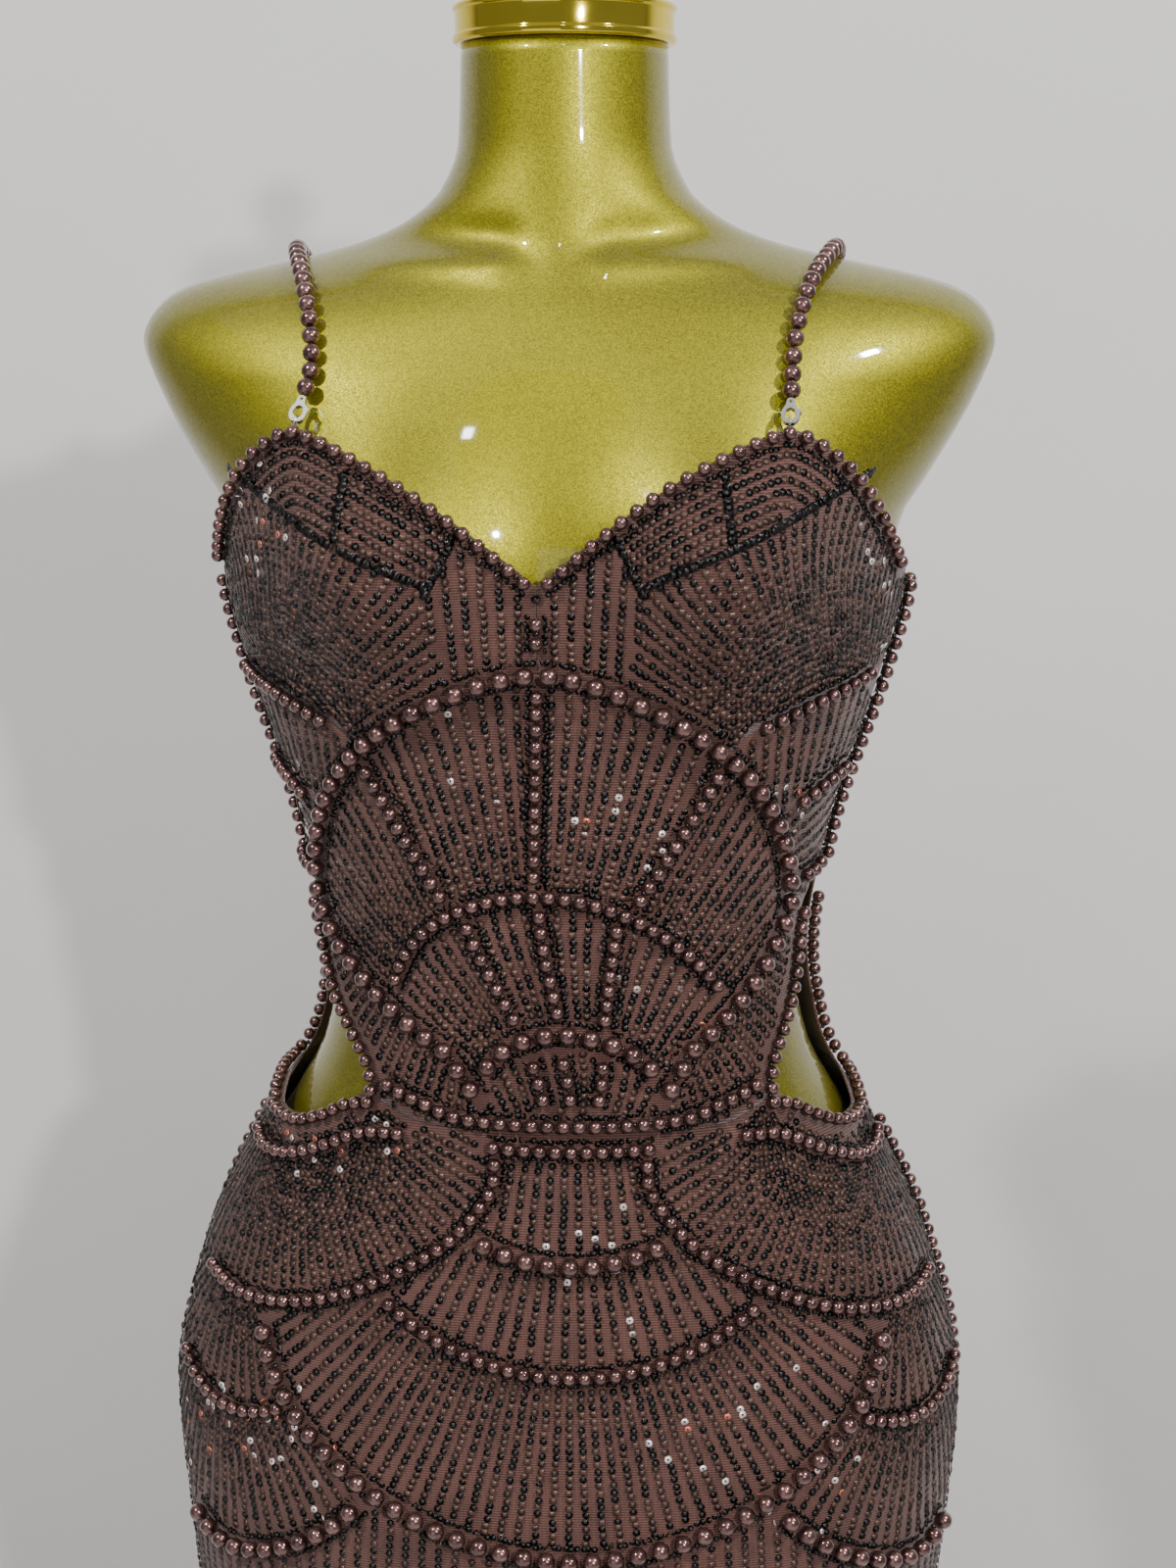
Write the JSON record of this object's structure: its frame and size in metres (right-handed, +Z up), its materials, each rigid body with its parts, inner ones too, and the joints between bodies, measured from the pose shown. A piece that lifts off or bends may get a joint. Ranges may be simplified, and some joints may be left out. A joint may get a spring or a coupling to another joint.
{
  "type": "evening gown on a dress form with stand",
  "caption": "Floor-length beaded evening gown with a sweetheart neckline, side cut-outs and pearl-strand straps, worn by a limbless dress form on a pole with a round base.",
  "frame": {"origin": "the middle of the round base's flat underside, on the floor below the form's axis", "axes": "+Z is up, the gown's front faces -Y, and +X is the wearer's left, at the right of a front view"},
  "size_m": [0.5723, 0.5691, 1.5456],
  "materials": {
    "beaded_net": "red-brown fine net, sewn with lines of small dark sequins",
    "pearl": "mauve-brown pearl coat with a soft highlight",
    "silver_plate": "bright silver plate",
    "gold_flake": "gold metal-flake paint under clear lacquer",
    "gold_plate": "polished gold plate",
    "stand_steel": "satin steel"
  },
  "bodies": {
    "root": {"bodice_back": "beaded_net", "clasp_left": "silver_plate", "clasp_right": "silver_plate", "clasp_ring_left": "silver_plate", "clasp_ring_right": "silver_plate", "cup_left": "beaded_net", "cup_right": "beaded_net", "form_base": "stand_steel", "form_collar": "stand_steel", "form_knob": "gold_plate", "form_neck_cap": "gold_plate", "form_pole": "stand_steel", "form_torso": "gold_flake", "midriff_front": "beaded_net", "pearls_back_edge": "pearl", "pearls_centre_front": "pearl", "pearls_cutout_left": "pearl", "pearls_cutout_right": "pearl", "pearls_fan_arc": "pearl", "pearls_fan_spoke_left": "pearl", "pearls_fan_spoke_middle": "pearl", "pearls_fan_spoke_right": "pearl", "pearls_foot_spoke_left": "pearl", "pearls_foot_spoke_middle": "pearl", "pearls_foot_spoke_right": "pearl", "pearls_hip_band_lower": "pearl", "pearls_hip_band_upper": "pearl", "pearls_hip_edge_left": "pearl", "pearls_hip_edge_right": "pearl", "pearls_hip_fan": "pearl", "pearls_hip_scallop_left": "pearl", "pearls_hip_scallop_right": "pearl", "pearls_hip_seam_left": "pearl", "pearls_hip_seam_right": "pearl", "pearls_inner_fan_arc": "pearl", "pearls_neckline_left": "pearl", "pearls_neckline_right": "pearl", "pearls_oval": "pearl", "pearls_oval_spoke_left": "pearl", "pearls_oval_spoke_middle": "pearl", "pearls_oval_spoke_right": "pearl", "pearls_rib_lower_left": "pearl", "pearls_rib_lower_right": "pearl", "pearls_rib_upper_left": "pearl", "pearls_rib_upper_right": "pearl", "pearls_side_scallop_lower_left": "pearl", "pearls_side_scallop_lower_right": "pearl", "pearls_side_scallop_upper_left": "pearl", "pearls_side_scallop_upper_right": "pearl", "pearls_side_seam_left": "pearl", "pearls_side_seam_right": "pearl", "pearls_underbust_left": "pearl", "pearls_underbust_right": "pearl", "pearls_waist_lower": "pearl", "pearls_waist_upper": "pearl", "skirt_back": "beaded_net", "skirt_front": "beaded_net", "strap_left": "pearl", "strap_right": "pearl"}
  },
  "joints": []
}
